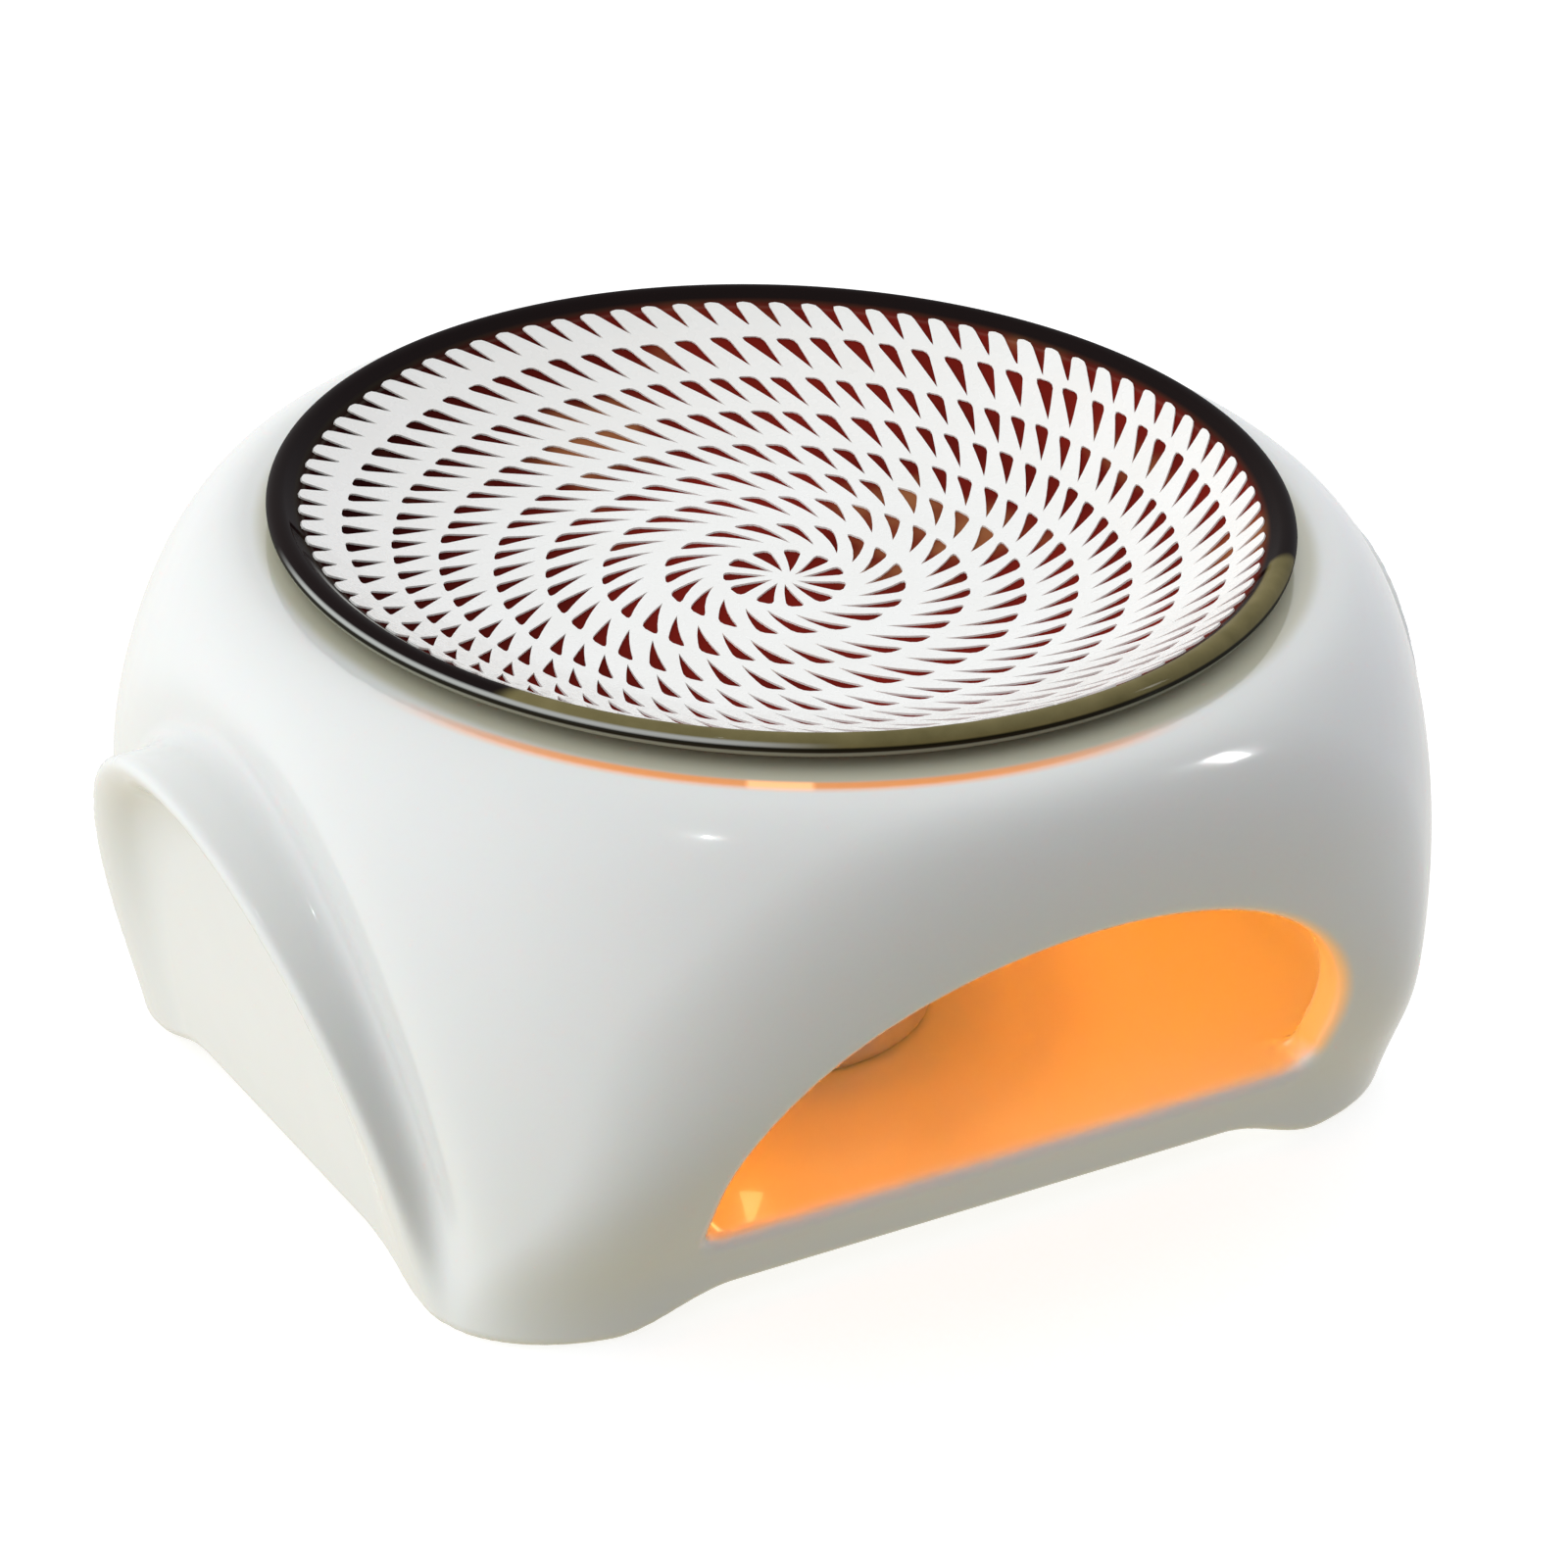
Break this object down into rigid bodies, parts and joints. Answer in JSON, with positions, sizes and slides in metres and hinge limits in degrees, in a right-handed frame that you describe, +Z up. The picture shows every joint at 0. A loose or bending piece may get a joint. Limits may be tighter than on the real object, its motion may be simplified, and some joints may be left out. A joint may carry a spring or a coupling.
{
  "type": "wax melt warmer",
  "caption": "White porcelain dome with arched openings over a tealight, carrying a lift-off dark-glazed dish with wedge-cut slip pattern for melting scented wax.",
  "frame": {"origin": "on the table under the body's axis, level with the bottoms of the feet", "axes": "+Z up along the body's axis, -Y out of the front archway, X from one side porch to the other"},
  "size_m": [0.1432, 0.1284, 0.0653],
  "materials": {
    "white_porcelain": "glossy white glaze",
    "dark_glaze": "glossy dark brown glaze under cut white slip",
    "cup_aluminium": "thin drawn foil, bright",
    "candle_wax": "paraffin wax, slightly translucent",
    "wick_cotton": "braided cotton, charred tip",
    "tin_plate": "stamped tin plate"
  },
  "bodies": {
    "body": {"warmer_body": "white_porcelain"},
    "dish": {"melting_dish": "dark_glaze"},
    "tealight": {"tealight_cup": "cup_aluminium", "tealight_wax": "candle_wax", "wick": "wick_cotton", "wick_sustainer": "tin_plate"}
  },
  "joints": [
    {"name": "dish_lift", "type": "slide", "parent": "body", "child": "dish", "axis": [0, 0, 1], "range_m": [0, 0.04]},
    {"name": "tealight_slide", "type": "slide", "parent": "body", "child": "tealight", "axis": [0, -1, 0], "range_m": [0, 0.1]}
  ]
}
